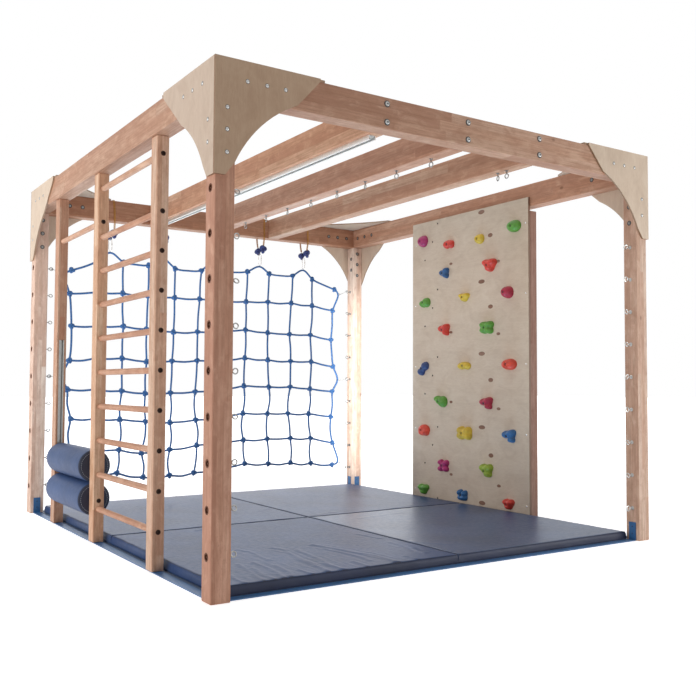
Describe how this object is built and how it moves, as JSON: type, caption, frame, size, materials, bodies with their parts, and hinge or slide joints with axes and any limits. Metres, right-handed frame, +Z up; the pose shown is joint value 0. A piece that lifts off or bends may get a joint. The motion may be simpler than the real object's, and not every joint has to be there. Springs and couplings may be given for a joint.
{
  "type": "sensory play structure",
  "caption": "Walk-in timber play frame with a side ladder, padded squeeze rollers, a rope net, a wall with climbing holds, ceiling beams for swings and floor mats",
  "frame": {"origin": "middle of the footprint, on the floor", "axes": "+X to the right along the front, +Y from the open front towards the net at the back, +Z up"},
  "size_m": [2.8258, 3.0656, 2.25],
  "materials": {
    "timber": "oiled glued laminated hardwood, satin",
    "birch_plywood": "birch plywood, clear satin lacquer",
    "plated_steel": "zinc plated",
    "blue_steel": "blue powder coat",
    "navy_vinyl": "coated fabric over foam, soft sheen",
    "blue_rope": "braided rope, matt"
  },
  "bodies": {
    "frame": {"post_front_left": "timber", "post_front_right": "timber", "post_back_left": "timber", "post_back_right": "timber", "beam_front": "timber", "beam_back": "timber", "beam_left": "timber", "beam_right": "timber", "cross_beam_1": "timber", "cross_beam_2": "timber", "cross_beam_3": "timber", "ladder_post_a": "timber", "ladder_post_b": "timber", "ladder_post_c": "timber", "rung_01": "timber", "rung_02": "timber", "rung_03": "timber", "rung_04": "timber", "rung_05": "timber", "rung_06": "timber", "rung_07": "timber", "rung_08": "timber", "rung_09": "timber", "rung_10": "timber", "rung_bay_top": "timber", "panel_batten_near": "timber", "panel_batten_far": "timber", "stop_block_a": "timber", "stop_block_c": "timber", "plate_front_left_long": "birch_plywood", "plate_front_left_side": "birch_plywood", "plate_front_right_long": "birch_plywood", "plate_front_right_side": "birch_plywood", "plate_back_left_long": "birch_plywood", "plate_back_left_side": "birch_plywood", "plate_back_right_long": "birch_plywood", "plate_back_right_side": "birch_plywood", "gusset_front_left": "birch_plywood", "gusset_front_right": "birch_plywood", "gusset_back_left": "birch_plywood", "gusset_back_right": "birch_plywood", "climbing_panel": "birch_plywood", "rail_front": "blue_steel", "rail_back": "blue_steel", "rail_left": "blue_steel", "rail_right": "blue_steel", "trolley_track": "plated_steel", "guide_channel_a": "plated_steel", "guide_channel_c": "plated_steel", "roller_axle_lower": "plated_steel", "mat_front_left": "navy_vinyl", "mat_front_right": "navy_vinyl", "mat_back_left": "navy_vinyl", "mat_back_right": "navy_vinyl", "climbing_net": "blue_rope"},
    "lower_roller": {"roller_lower": "navy_vinyl"},
    "upper_carriage": {"roller_axle_upper": "plated_steel"},
    "upper_roller": {"roller_upper": "navy_vinyl"}
  },
  "joints": [
    {"name": "lower_roller_spin", "type": "hinge", "parent": "frame", "child": "lower_roller", "pos_m": [-1.3194, 0.501, 0.2365], "axis": [0, 1, 0], "continuous": true},
    {"name": "upper_carriage_slide", "type": "slide", "parent": "frame", "child": "upper_carriage", "axis": [0, 0, 1], "range_m": [0, 0.728]},
    {"name": "upper_roller_spin", "type": "hinge", "parent": "upper_carriage", "child": "upper_roller", "pos_m": [-1.3194, 0.501, 0.424], "axis": [0, 1, 0], "continuous": true}
  ]
}
